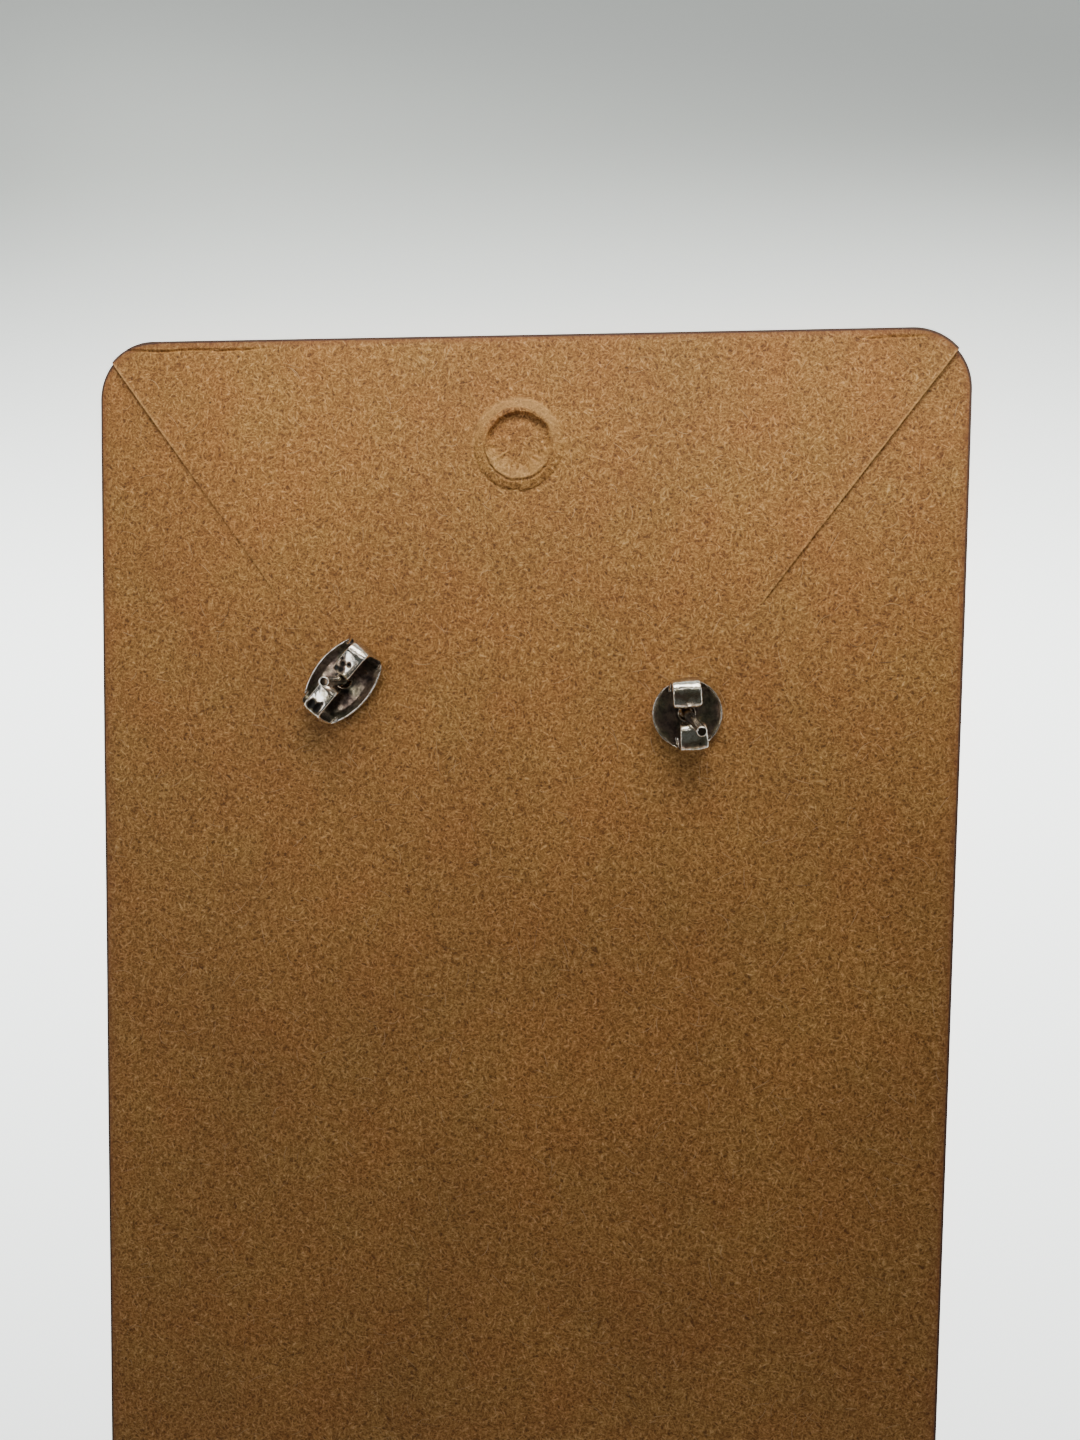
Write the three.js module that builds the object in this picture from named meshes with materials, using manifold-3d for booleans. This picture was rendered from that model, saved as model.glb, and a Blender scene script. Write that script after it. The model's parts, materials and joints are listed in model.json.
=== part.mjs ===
// A pair of stud earrings on the small kraft board card they are sold on.
//
// The card lies face down, as it rests by itself: on its bottom edge and on the two domed
// heads under it. Its back is upward, with the two posts standing out of it and a butterfly
// clutch pushed on each post. The two clutches are of different makes: one has a barrel
// shaped plate, the other a round one.
//
// Millimetres, +Z up. The parts are modelled in the card's own frame (origin at the middle
// of the card's back face, +X across, +Y towards the hang hole, +Z out of the back), inside
// one group that is tipped to the card's resting slope and set down on z = 0.

import * as THREE from 'three';
import { mergeVertices } from 'three/addons/utils/BufferGeometryUtils.js';
import Module from 'manifold-3d';

const wasm = await Module();
wasm.setup();

// ---------------------------------------------------------------- driving dimensions

const CARD = { width: 60, height: 90, thickness: 0.45, cornerRadius: 4, postHoleRadius: 0.6 };

// The hang hole's disc is punched round but still sits in its hole, inside a raised ridge.
const HANG_HOLE = { y: 37.7, discRadius: 2.15, ridgeRadius: 3.05, ridgeHeight: 0.18, recess: 0.1 };

// A cut runs in from each top corner. The ends are given for the right-hand one.
const SLIT = { outer: [28.92, 43.43], inner: [16.49, 26.61], width: 0.2 };

// The plain domed head lies against the card's face, and the post is soldered to it.
const HEAD = { radius: 3, thickness: 1.4, rim: 0.35, flatRadius: 0.6, gapToCard: 0.05 };
const POST = { radius: 0.345, root: -1.2, tip: 6.6, chamfer: 0.12 };

const SHEET = 0.22; // the clutches' sheet metal
const PLATE = { holeRadius: 0.52, rimHeight: 0.5, rimWidth: 0.2 };

// at: where the post comes through the card; postLean, clutchLean: how far the post and the
// clutch lean towards +X and +Y, in degrees; lift: the height of the clutch's underside
// over the card on the post's axis; strip: the direction of the first ear, in degrees.
// Ears, in order: along the strip direction, then against it.
//   reach     from the post to the middle of the sheet at its outermost
//   top       height of the middle of the sheet at the top, over the plate's
//   outerR    radius of the outer bend; innerR of the bend next to the post
//   gap       from the post's axis to the middle of the sheet beside it
//   rootHalf, tipHalf  half widths where the ear leaves the plate and at its end
//   taper     length along the sheet over which the width changes
//   side      how far the ear is set off to the right of the strip direction
const STUDS = {
  left: {
    at: [-12.0, 21.31],
    postLean: [4.2, 0.6],
    clutchLean: [-1.5, 0],
    lift: 0.15,
    strip: 50,
    plate: { kind: 'barrel', halfLength: 2.9, halfWidth: 2.15, endHalfWidth: 1.35 },
    ears: [
      { reach: 2.87, top: 2.1, outerR: 0.8, innerR: 0.4, gap: 0.62, rootHalf: 1.35, tipHalf: 0.71, taper: 2.2, side: -0.05 },
      { reach: 2.94, top: 1.72, outerR: 0.7, innerR: 0.4, gap: 0.66, rootHalf: 1.35, tipHalf: 0.7, taper: 2, side: -0.08 },
    ],
  },
  right: {
    at: [11.86, 19.46],
    postLean: [7, -7.3],
    clutchLean: [5, -5],
    lift: 0.36,
    strip: 95.5,
    plate: { kind: 'disc', radius: 2.36 },
    ears: [
      { reach: 2.37, top: 2.0, outerR: 0.8, innerR: 0.45, gap: 0.7, rootHalf: 0.95, tipHalf: 0.95, taper: 2.2, side: -0.08 },
      { reach: 2.35, top: 1.95, outerR: 0.8, innerR: 0.45, gap: 0.6, rootHalf: 0.98, tipHalf: 0.84, taper: 5, side: 0.18 },
    ],
  },
};

const TUCK = { radius: 0.22, turn: 60 }; // the ear's last curl, away from the post

const ARC_STEPS = 6; // steps of an ear's quarter bend
const ROUND = { outline: 48, corner: 8, post: 24, hole: 24, dome: 6 };

// ---------------------------------------------------------------- materials

const finish = (color, roughness, metalness) => new THREE.MeshStandardMaterial({ color, roughness, metalness });
const KRAFT = finish(0xa17a4c, 0.9, 0);
const STUD_SILVER = finish(0xc9c7c2, 0.25, 1);
const CLUTCH_SILVER = finish(0x9d9a94, 0.35, 1);

// ---------------------------------------------------------------- solids

const rad = THREE.MathUtils.degToRad;

/** A closed three.js geometry as a solid that can be joined and cut. */
function solidOf(geometry) {
  const bare = geometry.index ? geometry.toNonIndexed() : geometry.clone();
  for (const name of Object.keys(bare.attributes)) {
    if (name !== 'position') bare.deleteAttribute(name);
  }
  const merged = mergeVertices(bare, 1e-4);
  return new wasm.Manifold(new wasm.Mesh({
    numProp: 3,
    vertProperties: new Float32Array(merged.attributes.position.array),
    triVerts: new Uint32Array(merged.index.array),
  }));
}

/** A solid as a three.js geometry. */
function geometryOf(solid) {
  const mesh = solid.getMesh();
  const geometry = new THREE.BufferGeometry();
  geometry.setAttribute('position', new THREE.BufferAttribute(new Float32Array(mesh.vertProperties), 3));
  geometry.setIndex(new THREE.BufferAttribute(new Uint32Array(mesh.triVerts), 1));
  geometry.computeVertexNormals();
  return geometry;
}

/** A flat outline, from z = bottom up to z = top. */
function slab(shape, bottom, top, curveSegments = ROUND.corner) {
  const geometry = new THREE.ExtrudeGeometry(shape, { depth: top - bottom, bevelEnabled: false, curveSegments });
  return geometry.translate(0, 0, bottom);
}

/** A turned form on the Z axis from its [radius, height] profile. */
function turned(profile, segments) {
  const points = profile.map(([r, z]) => new THREE.Vector2(r, z));
  return new THREE.LatheGeometry(points, segments).rotateX(Math.PI / 2);
}

/** The unit direction of something that leans by so many degrees towards +X and +Y. */
function leaning([towardsX, towardsY]) {
  return new THREE.Vector3(Math.tan(rad(towardsX)), Math.tan(rad(towardsY)), 1).normalize();
}

// ---------------------------------------------------------------- card

/** The board's outline: a rectangle with round corners and a hole for each post. */
function cardShape() {
  const x = CARD.width / 2;
  const y = CARD.height / 2;
  const r = CARD.cornerRadius;
  const shape = new THREE.Shape();
  shape.absarc(x - r, y - r, r, 0, Math.PI / 2);
  shape.absarc(r - x, y - r, r, Math.PI / 2, Math.PI);
  shape.absarc(r - x, r - y, r, Math.PI, 1.5 * Math.PI);
  shape.absarc(x - r, r - y, r, 1.5 * Math.PI, 2 * Math.PI);
  shape.closePath();
  for (const { at } of Object.values(STUDS)) {
    const hole = new THREE.Path();
    hole.absarc(at[0], at[1], CARD.postHoleRadius, 0, 2 * Math.PI, true);
    shape.holes.push(hole);
  }
  return shape;
}

/** The narrow cut from a top corner, as a thin block; side is 1 for the right-hand one. */
function slitBlock(side) {
  const [outer, inner] = [SLIT.outer, SLIT.inner].map(([x, y]) => new THREE.Vector2(side * x, y));
  const along = outer.clone().sub(inner);
  const past = 1.5; // the block runs on through the card's rounded corner
  const length = along.length() + past;
  const block = new THREE.BoxGeometry(length, SLIT.width, 3 * CARD.thickness);
  block.translate(length / 2, 0, 0);
  block.rotateZ(along.angle());
  return block.translate(inner.x, inner.y, 0);
}

function cardGeometry() {
  const { y, discRadius, ridgeRadius, ridgeHeight, recess } = HANG_HOLE;
  const buried = -0.2;
  const ridge = turned([
    [ridgeRadius, buried], [ridgeRadius, 0.02], [discRadius, ridgeHeight],
    [discRadius - 0.2, ridgeHeight], [discRadius - 0.2, buried], [ridgeRadius, buried],
  ], ROUND.outline).translate(0, y, 0);
  const hollow = turned([
    [0, -recess], [discRadius, -recess], [discRadius, 1], [0, 1],
  ], ROUND.outline).translate(0, y, 0);
  return geometryOf(solidOf(slab(cardShape(), -CARD.thickness, 0, ROUND.hole / 2))
    .subtract(solidOf(slitBlock(1)))
    .subtract(solidOf(slitBlock(-1)))
    .add(solidOf(ridge))
    .subtract(solidOf(hollow)));
}

// ---------------------------------------------------------------- studs

/** The head's profile: a small flat, a shallow dome, a short upright rim and a flat back. */
function headProfile() {
  const back = -CARD.thickness - HEAD.gapToCard;
  const rise = HEAD.thickness - HEAD.rim;
  const sphere = (HEAD.radius ** 2 + rise ** 2) / (2 * rise);
  const profile = [[0, back - HEAD.thickness], [HEAD.flatRadius, back - HEAD.thickness]];
  for (let i = 1; i <= ROUND.dome; i++) {
    const r = THREE.MathUtils.lerp(HEAD.flatRadius, HEAD.radius, i / ROUND.dome);
    profile.push([r, back - HEAD.thickness + sphere - Math.sqrt(sphere ** 2 - r ** 2)]);
  }
  profile.push([HEAD.radius, back], [0, back]);
  return profile;
}

/** Head and post, soldered into one. The post leans about the point where it meets the card's back. */
function studGeometry({ at, postLean }) {
  const { radius, root, tip, chamfer } = POST;
  const axis = leaning(postLean);
  const length = tip / axis.z;
  const post = turned([
    [0, root], [radius, root], [radius, length - chamfer], [radius - chamfer, length], [0, length],
  ], ROUND.post);
  post.applyQuaternion(new THREE.Quaternion().setFromUnitVectors(new THREE.Vector3(0, 0, 1), axis));
  const stud = solidOf(turned(headProfile(), ROUND.outline)).add(solidOf(post));
  return geometryOf(stud).translate(at[0], at[1], 0);
}

// ---------------------------------------------------------------- clutches

// A clutch is modelled on its own axes: X along its strip, Z up its axis, z = 0 underneath.

/** The plate's outline, drawn in by inset and, for a barrel, made longer by extra. */
function plateShape(plate, inset = 0, extra = 0) {
  const shape = new THREE.Shape();
  if (plate.kind === 'disc') {
    shape.absarc(0, 0, plate.radius - inset, 0, 2 * Math.PI);
    return shape;
  }
  // a barrel: two long side arcs, cut straight at both ends
  const sag = plate.halfWidth - plate.endHalfWidth;
  const sideRadius = (plate.halfLength ** 2 + sag ** 2) / (2 * sag);
  const centre = plate.halfWidth - sideRadius;
  const half = Math.asin((plate.halfLength + extra) / (sideRadius - inset));
  shape.absarc(0, centre, sideRadius - inset, Math.PI / 2 - half, Math.PI / 2 + half);
  shape.absarc(0, -centre, sideRadius - inset, 1.5 * Math.PI - half, 1.5 * Math.PI + half);
  shape.closePath();
  return shape;
}

/** The plate: a floor with an upturned rim, open at the ends of a barrel. */
function plateSolid(plate) {
  const past = 0.3;
  const pan = solidOf(slab(plateShape(plate), 0, PLATE.rimHeight, ROUND.outline / 2));
  const inside = solidOf(slab(plateShape(plate, PLATE.rimWidth, past), SHEET, 2, ROUND.outline / 2));
  return pan.subtract(inside);
}

/** Points on an arc in the ear's side view, from one angle to another, in degrees. */
function arc([x, z], radius, from, to) {
  const steps = Math.max(2, Math.round((Math.abs(to - from) / 90) * ARC_STEPS));
  return Array.from({ length: steps + 1 }, (_, i) => {
    const angle = rad(from + ((to - from) * i) / steps);
    return new THREE.Vector2(x + radius * Math.cos(angle), z + radius * Math.sin(angle));
  });
}

/** The radius of an ear's bend up out of the plate, and where along the strip it starts. */
function rootBend({ reach, top, outerR }) {
  const lowerR = Math.min(outerR, top / 2);
  return { lowerR, start: reach - lowerR };
}

/** The notch in the plate that an ear is bent up out of; side is 1 along the strip and -1 against it. */
function rootNotch(ear, side) {
  const play = 0.05;
  const length = 3;
  const notch = new THREE.BoxGeometry(length, 2 * (ear.rootHalf + play), length);
  return solidOf(notch.translate(side * (rootBend(ear).start + length / 2), -ear.side, 0));
}

/** The middle of an ear's sheet seen from the side: out, up, over, down beside the post, tucked away. */
function earLine(ear) {
  const { reach, top, outerR, innerR, gap } = ear;
  const overlap = 0.4; // the ear starts inside the plate
  const middle = SHEET / 2;
  const { lowerR } = rootBend(ear);
  const tuckZ = middle + (top - innerR) / 2;
  return [
    new THREE.Vector2(reach - lowerR - overlap, middle),
    ...arc([reach - lowerR, middle + lowerR], lowerR, -90, 0),
    ...arc([reach - outerR, middle + top - outerR], outerR, 0, 90),
    ...arc([gap + innerR, middle + top - innerR], innerR, 90, 180),
    ...arc([gap + TUCK.radius, tuckZ], TUCK.radius, 180, 180 + TUCK.turn),
  ].filter((point, i, line) => i === 0 || point.distanceTo(line[i - 1]) > 1e-3);
}

/** An ear as a closed ribbon of sheet; side is 1 along the strip and -1 against it. */
function earSolid(ear, side) {
  const line = earLine(ear);
  const stations = [];
  let run = 0;
  line.forEach((point, i) => {
    const before = line[Math.max(i - 1, 0)];
    const after = line[Math.min(i + 1, line.length - 1)];
    run += point.distanceTo(before);
    const along = after.clone().sub(before).normalize();
    const across = new THREE.Vector2(-along.y, along.x).multiplyScalar(SHEET / 2);
    const half = THREE.MathUtils.lerp(ear.rootHalf, ear.tipHalf, Math.min(run / ear.taper, 1));
    for (const [w, face] of [[-1, -1], [1, -1], [1, 1], [-1, 1]]) {
      stations.push(side * (point.x + face * across.x), -ear.side + w * half, point.y + face * across.y);
    }
  });
  const faces = [[0, 1, 2], [0, 2, 3]];
  const last = 4 * (line.length - 1);
  faces.push([last, last + 2, last + 1], [last, last + 3, last + 2]);
  for (let i = 0; i < line.length - 1; i++) {
    for (let k = 0; k < 4; k++) {
      const a = 4 * i + k;
      const b = 4 * i + ((k + 1) % 4);
      faces.push([a, a + 4, b + 4], [a, b + 4, b]);
    }
  }
  const outward = side > 0 ? faces.map(([a, b, c]) => [a, c, b]) : faces;
  const geometry = new THREE.BufferGeometry();
  geometry.setAttribute('position', new THREE.Float32BufferAttribute(stations, 3));
  geometry.setIndex(outward.flat());
  return solidOf(geometry);
}

function clutchGeometry({ plate, ears }) {
  const hole = solidOf(turned([
    [0, -1], [PLATE.holeRadius, -1], [PLATE.holeRadius, 1], [0, 1],
  ], ROUND.hole));
  return geometryOf(plateSolid(plate)
    .subtract(rootNotch(ears[0], 1))
    .subtract(rootNotch(ears[1], -1))
    .add(earSolid(ears[0], 1))
    .add(earSolid(ears[1], -1))
    .subtract(hole));
}

/** A clutch's pose on the card: Z up its axis, X along its strip. */
function placeClutch(mesh, { at, clutchLean, strip, lift }) {
  const up = leaning(clutchLean);
  const along = new THREE.Vector3(Math.cos(rad(strip)), Math.sin(rad(strip)), 0);
  along.addScaledVector(up, -along.dot(up)).normalize();
  const left = new THREE.Vector3().crossVectors(up, along);
  mesh.quaternion.setFromRotationMatrix(new THREE.Matrix4().makeBasis(along, left, up));
  mesh.position.set(at[0], at[1], lift);
}

// ---------------------------------------------------------------- assembly

function part(name, geometry, material) {
  const mesh = new THREE.Mesh(geometry, material);
  mesh.name = name;
  return mesh;
}

const lyingCard = new THREE.Group();
lyingCard.add(part('card', cardGeometry(), KRAFT));
for (const [side, stud] of Object.entries(STUDS)) {
  lyingCard.add(part(`${side}_stud`, studGeometry(stud), STUD_SILVER));
  const clutch = part(`${side}_clutch`, clutchGeometry(stud), CLUTCH_SILVER);
  placeClutch(clutch, stud);
  lyingCard.add(clutch);
}

// The card slopes from its bottom edge up to the flat of the nearer of the two heads under it.
const nearerFlat = Math.min(...Object.values(STUDS).map(({ at }) => at[1])) - HEAD.flatRadius;
lyingCard.rotation.x = Math.atan((HEAD.gapToCard + HEAD.thickness) / (CARD.height / 2 + nearerFlat));

// Set down on z = 0, with the origin under the middle of the whole.
const box = new THREE.Box3().setFromObject(lyingCard, true);
const middle = box.getCenter(new THREE.Vector3());
lyingCard.position.set(-middle.x, -middle.y, -box.min.z);

const model = new THREE.Group();
model.add(lyingCard);
model.updateMatrixWorld(true);

export default model;
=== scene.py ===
# %% [markdown]
# # A pair of stud earrings on their display card
#
# Jewellers push a pair of studs through a small card of brown kraft board and hold them with
# a clutch behind. This card lies face down, so its back is up: the board, the ends of two
# posts, and two butterfly clutches of different makes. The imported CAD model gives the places
# of the card and of the two studs, and its sizes are repeated here by name. This lesson makes
# the surfaces that the eye needs on top of it.

# %% Load the frame
import json
import math

import bpy
import numpy as np
from mathutils import Matrix


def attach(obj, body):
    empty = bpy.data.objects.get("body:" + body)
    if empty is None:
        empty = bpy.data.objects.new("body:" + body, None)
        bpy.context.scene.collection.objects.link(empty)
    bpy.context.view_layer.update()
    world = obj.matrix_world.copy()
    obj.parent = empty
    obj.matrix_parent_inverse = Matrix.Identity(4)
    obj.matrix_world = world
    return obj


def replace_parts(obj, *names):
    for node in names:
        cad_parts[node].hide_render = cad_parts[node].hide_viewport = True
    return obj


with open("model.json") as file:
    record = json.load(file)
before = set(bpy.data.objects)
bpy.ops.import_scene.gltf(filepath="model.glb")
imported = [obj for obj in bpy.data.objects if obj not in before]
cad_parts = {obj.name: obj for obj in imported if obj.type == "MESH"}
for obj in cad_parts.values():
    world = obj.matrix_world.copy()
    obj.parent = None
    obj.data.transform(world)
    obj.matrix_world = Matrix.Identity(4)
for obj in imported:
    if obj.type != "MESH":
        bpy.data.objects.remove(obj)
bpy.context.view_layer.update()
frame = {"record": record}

# %% [markdown]
# ## The card's own axes
#
# The card leans on the two heads under it, so it isn't level. It is far easier to model on
# the card's own axes: X across, Y towards the hang hole, Z out of its back, zero in the
# middle of the back, all in millimetres. One function turns such points into the frame's
# metres. The cut bottom edge of the card is a stated face of the CAD model, so its place
# and direction fix the axes, and the flat of each head says where its stud is.

# %% From card millimetres to frame metres
MM = 0.001
HALF_WIDTH = 30.0        # of the card
HALF_HEIGHT = 45.0
BOARD = 0.45             # thickness of the board

mounts = {m["name"]: m for m in frame["record"]["mounts"]}
CARD_X = np.array([1.0, 0.0, 0.0])
CARD_Y = -np.array(mounts["card_bottom_edge"]["axis"])
CARD_AXES = np.stack([CARD_X, CARD_Y, np.cross(CARD_X, CARD_Y)])
CARD_ORIGIN = (np.array(mounts["card_bottom_edge"]["pos_m"])
               + MM * np.array([0, HALF_HEIGHT, BOARD / 2]) @ CARD_AXES)


def from_card(points):
    """Card millimetres to frame metres: the origin plus each number times its axis."""
    return CARD_ORIGIN + MM * np.asarray(points, float) @ CARD_AXES


def stud_place(side):
    """Where a stud goes through the card, from the flat of its head."""
    flat = np.array(mounts[f"{side}_head_flat"]["pos_m"])
    return ((flat - CARD_ORIGIN) @ CARD_AXES.T / MM)[:2]


print("slope of the card:", round(math.degrees(math.asin(CARD_Y[2])), 3), "degrees")
print("studs at, mm:", stud_place("left").round(3), stud_place("right").round(3))

# %% [markdown]
# ## Meshes from arrays
#
# Every new surface is a grid: rows and columns of points worked out at once with numpy.
# `Skin` gathers such grids. It numbers the cells between neighbouring rows and columns,
# and in the end it welds the points that lie in the same place, so that grids which meet
# become one closed skin. With each point goes a number or two that the material wants
# there, such as how tarnished the metal is.

# %% A skin made of grids
def link(name, data):
    """Makes an object of some data and puts it in the scene."""
    made = bpy.data.objects.new(name, data)
    bpy.context.scene.collection.objects.link(made)
    return made


class Skin:
    """Grids of points, with the same named numbers at each point of every grid."""

    def __init__(self):
        self.points, self.triangles, self.numbers, self.count = [], [], {}, 0

    def grid(self, points, flip=False, keep=None, **numbers):
        """Adds a grid of rows x columns x 3. Its face turns from the columns' way to the rows' way,
        anticlockwise seen from outside, unless flip; keep says which cells stay."""
        rows, columns = points.shape[:2]
        index = self.count + np.arange(rows * columns).reshape(rows, columns)
        cells = np.stack([index[:-1, :-1], index[:-1, 1:], index[1:, 1:], index[1:, :-1]], -1)
        cells = cells.reshape(-1, 4) if keep is None else cells[keep]
        if flip:
            cells = cells[:, ::-1]
        self.triangles += [cells[:, [0, 1, 2]], cells[:, [0, 2, 3]]]
        self.points.append(points.reshape(-1, 3))
        self.count += rows * columns
        for key, values in numbers.items():
            spread = np.broadcast_to(values, (rows, columns)).ravel()
            self.numbers.setdefault(key, []).append(spread)

    def mesh(self, name, place):
        """Welds the points that round to the same 0.0001 mm, drops the triangles that shrink to a
        line, and makes the object. place turns the skin's millimetres into metres."""
        points = np.concatenate(self.points)
        _, first, joined = np.unique(np.round(points, 4), axis=0, return_index=True,
                                     return_inverse=True)
        a, b, c = joined.ravel()[np.concatenate(self.triangles)].T
        triangles = np.stack([a, b, c], 1)[(a != b) & (b != c) & (c != a)]
        mesh = bpy.data.meshes.new(name)
        mesh.vertices.add(len(first))
        mesh.vertices.foreach_set("co", place(points[first]).astype(np.float32).ravel())
        mesh.loops.add(triangles.size)
        mesh.loops.foreach_set("vertex_index", triangles.astype(np.int32).ravel())
        mesh.polygons.add(len(triangles))
        mesh.polygons.foreach_set("loop_start", np.arange(0, triangles.size, 3, dtype=np.int32))
        mesh.polygons.foreach_set("use_smooth", np.ones(len(triangles), bool))
        for key, values in self.numbers.items():
            layer = mesh.attributes.new(key, "FLOAT", "POINT")
            layer.data.foreach_set("value", np.concatenate(values)[first].astype(np.float32))
        mesh.update(calc_edges=True)
        mesh.validate()
        print(f"{name}: {len(first)} points, {len(triangles)} triangles")
        return link(name, mesh)


def smoothstep(x):
    """0 below 0, 1 above 1, and an S-shaped rise between: x * x * (3 - 2 x)."""
    x = np.clip(x, 0.0, 1.0)
    return x * x * (3 - 2 * x)


def between(start, stop, step):
    """Even steps from start up to stop, stop left out, each as near to step as fits."""
    return np.linspace(start, stop, max(1, round(abs(stop - start) / step)), endpoint=False)


# %% [markdown]
# A round feature doesn't suit a square grid. So a square of cells is left out around it, and
# a patch of rings fills the square: its outermost ring is the square's own border, so the
# two weld, and the rings inside it are circles.

# %% Rings in place of a square of cells
def border_of(grid, rows, columns):
    """The points around a square of cells, anticlockwise when columns go right and rows go up."""
    i0, i1 = rows
    j0, j1 = columns
    return np.concatenate([grid[i0, j0:j1], grid[i0:i1, j1], grid[i1, j1:j0:-1],
                           grid[i1:i0:-1, j0], grid[i0:i0 + 1, j0]])


def rings(border, centre, radii, steps):
    """A grid of flat points from a border in to a circle, then on through smaller circles.

    Each column runs straight in at the angle of its border point. The first rows go evenly from
    the border to the first radius, and each row after that is a circle."""
    angle = np.arctan2(border[:, 1] - centre[1], border[:, 0] - centre[0])
    ray = np.stack([np.cos(angle), np.sin(angle)], -1)
    circles = centre + radii[:, None, None] * ray[None]
    share = np.linspace(0, 1, steps, endpoint=False)[:, None, None]
    return np.concatenate([border[None] * (1 - share) + circles[:1] * share, circles])


def around(values, centre, reach):
    """The first and last index of the values within reach of a centre."""
    inside = np.flatnonzero(np.abs(values - centre) <= reach)
    return int(inside[0]), int(inside[-1])


# %% [markdown]
# ## The board
#
# Kraft board is cut by steel rules pressed into it. That leaves edges which are crushed a
# little and darkened, a cut from each top corner for a necklace, and here a hang hole whose
# disc was punched but never fell out, so a ring of board stands up round it.
#
# A height map on a square grid would draw all of that jagged. Instead the grid's columns
# lean so that one of them runs along each cut, and they crowd together there and at the
# card's edge. Every edge then has a row or a column of its own.

# %% The card's outline and its two cuts
CORNER = 4.0             # radius of the card's corners
SLIT_INNER = np.array([16.49, 26.61])
SLIT_OUTER = np.array([28.92, 43.43])
SLIT_RUN = SLIT_OUTER - SLIT_INNER
SLIT_LENGTH = np.hypot(*SLIT_RUN)
SLIT_GAPE = 0.012        # how wide the cut stands open; the CAD model's is 0.2


def half_width(y):
    """Half the card's width at a height: full, less the quarter circles at the corners."""
    into = np.clip(np.abs(y) - (HALF_HEIGHT - CORNER), 0, CORNER)
    return HALF_WIDTH - CORNER + np.sqrt(CORNER ** 2 - into ** 2)


def slit_x(y):
    """Where the cut is at a height. It is upright below its inner end and stops at the outline."""
    rise = np.maximum(y - SLIT_INNER[1], 0)
    return np.minimum(SLIT_INNER[0] + rise * SLIT_RUN[0] / SLIT_RUN[1], half_width(y))


def edge_distance(x, y):
    """Distance in from the outline, that of a rectangle with round corners."""
    qx = np.abs(x) - (HALF_WIDTH - CORNER)
    qy = np.abs(y) - (HALF_HEIGHT - CORNER)
    outside = np.hypot(np.maximum(qx, 0), np.maximum(qy, 0))
    return CORNER - outside - np.minimum(np.maximum(qx, qy), 0)


def slit_place(x, y):
    """How far along the nearer cut a point is, 0 at the inner end and 1 at the outer, and how far
    from it."""
    px, py = np.abs(x) - SLIT_INNER[0], y - SLIT_INNER[1]
    along = np.clip((px * SLIT_RUN[0] + py * SLIT_RUN[1]) / SLIT_LENGTH ** 2, 0, 1)
    return along, np.hypot(px - along * SLIT_RUN[0], py - along * SLIT_RUN[1])


slit_end = SLIT_OUTER[1]
for _ in range(20):      # where the straight cut meets the round corner
    slit_end = SLIT_INNER[1] + (half_width(slit_end) - SLIT_INNER[0]) * SLIT_RUN[1] / SLIT_RUN[0]
print("the cuts leave the card at y =", round(float(slit_end), 3), "mm")

# %% [markdown]
# The card's relief is one function of the place on it. Each part of it is a small hill or
# hollow with a width and a height in millimetres: the crushed edge, the lips of the cuts,
# two short creases by the top edge, the ring round the hang hole, and a slow wave, because
# no card stays flat. The ragged edges of the hang hole come from a few sine waves around it.

# %% The card's relief
HANG_HOLE = np.array([0.0, 37.7])
RING_OUT, RING_IN = 3.1, 2.3        # radii of the raised ring's foot and crest
RING_HEIGHT = 0.34                  # the CAD model's is 0.18; this one is higher so that it shows
CRACK_DEPTH, CRACK_WIDTH = 0.22, 0.06   # the split just outside the crest, deepest lower down
FOOT_DEPTH, FOOT_WIDTH = 0.04, 0.07     # the crease round the ring's foot
CRUSH, CRUSH_BAND = 0.07, 0.7       # how deep the rule pressed the card's edge, and how far in
BACK_ROUND, FRONT_ROUND = 0.06, 0.05    # radii of the edge's corners
CREASES = ((-28.4, -16.5, 44.32, 0.16), (22.6, 28.2, 44.34, 0.14))    # start, stop, height, depth


def ragged(angle, amount, seed):
    """An uneven line around a circle: the sum of seven sine waves of 3 to 31 turns."""
    turns = np.array([3, 5, 8, 11, 17, 23, 31])
    phase = np.random.default_rng(seed).uniform(0, 2 * np.pi, len(turns))
    return amount * np.sin(angle[..., None] * turns + phase).sum(-1) / np.sqrt(len(turns) / 2)


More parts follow.
